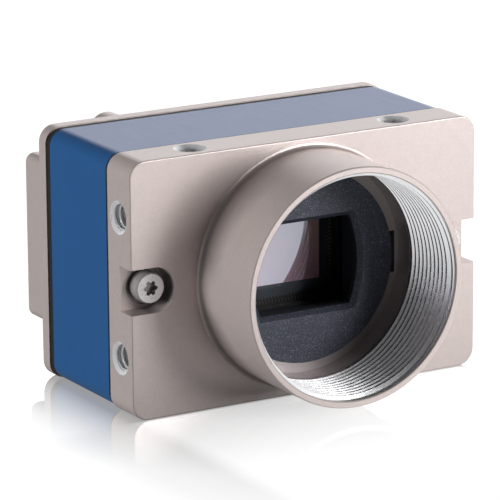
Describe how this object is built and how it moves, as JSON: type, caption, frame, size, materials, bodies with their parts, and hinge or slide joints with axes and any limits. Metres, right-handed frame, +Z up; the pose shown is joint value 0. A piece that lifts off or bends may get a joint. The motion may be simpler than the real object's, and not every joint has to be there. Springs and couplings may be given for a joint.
{
  "type": "machine vision camera",
  "caption": "Compact box camera with a threaded lens barrel, an image sensor behind a black baffle, tapped bracket holes and a rear block with a network jack.",
  "frame": {"origin": "middle of the footprint on the surface the camera stands on, under the centre of its outer box", "axes": "-Y out of the lens barrel along the optical axis, +X along the longest side, +Z up"},
  "size_m": [0.044, 0.0388, 0.029],
  "materials": {
    "housing": "fine matt blasted paint",
    "sleeve": "satin blue anodised",
    "gasket": "matt black",
    "screw": "bright stainless",
    "baffle": "grained black moulding",
    "package": "dark fired ceramic",
    "die": "dark polished silicon",
    "window_glass": "clear coated glass",
    "board": "green solder mask",
    "chip": "black moulded",
    "link": "cream moulded",
    "coil": "grey ferrite",
    "capacitor": "tan ceramic",
    "jack_metal": "bright plated",
    "jack_black": "black moulded",
    "contact": "gold plated",
    "light": "clear moulded light pipe",
    "lamp": "pale lamp"
  },
  "bodies": {
    "root": {"front_housing": "housing", "centre_sleeve": "sleeve", "rear_cover": "housing", "front_gasket": "gasket", "rear_gasket": "gasket", "clamp_screw_left": "screw", "clamp_screw_right": "screw", "baffle": "baffle", "sensor_package": "package", "sensor_die": "die", "sensor_glass": "window_glass", "sensor_board": "board", "processor_board": "board", "interface_board": "board", "board_spacers": "screw", "board_screws": "screw", "board_sockets": "link", "board_plugs": "link", "processor_chip": "chip", "memory_chips": "chip", "power_coils": "coil", "ethernet_chip": "chip", "ethernet_transformer": "chip", "capacitors": "capacitor", "jack_shell": "jack_metal", "jack_body": "jack_black", "jack_contacts": "contact", "io_connector": "chip", "io_pins": "contact", "status_led": "lamp", "status_light": "light"}
  },
  "joints": []
}
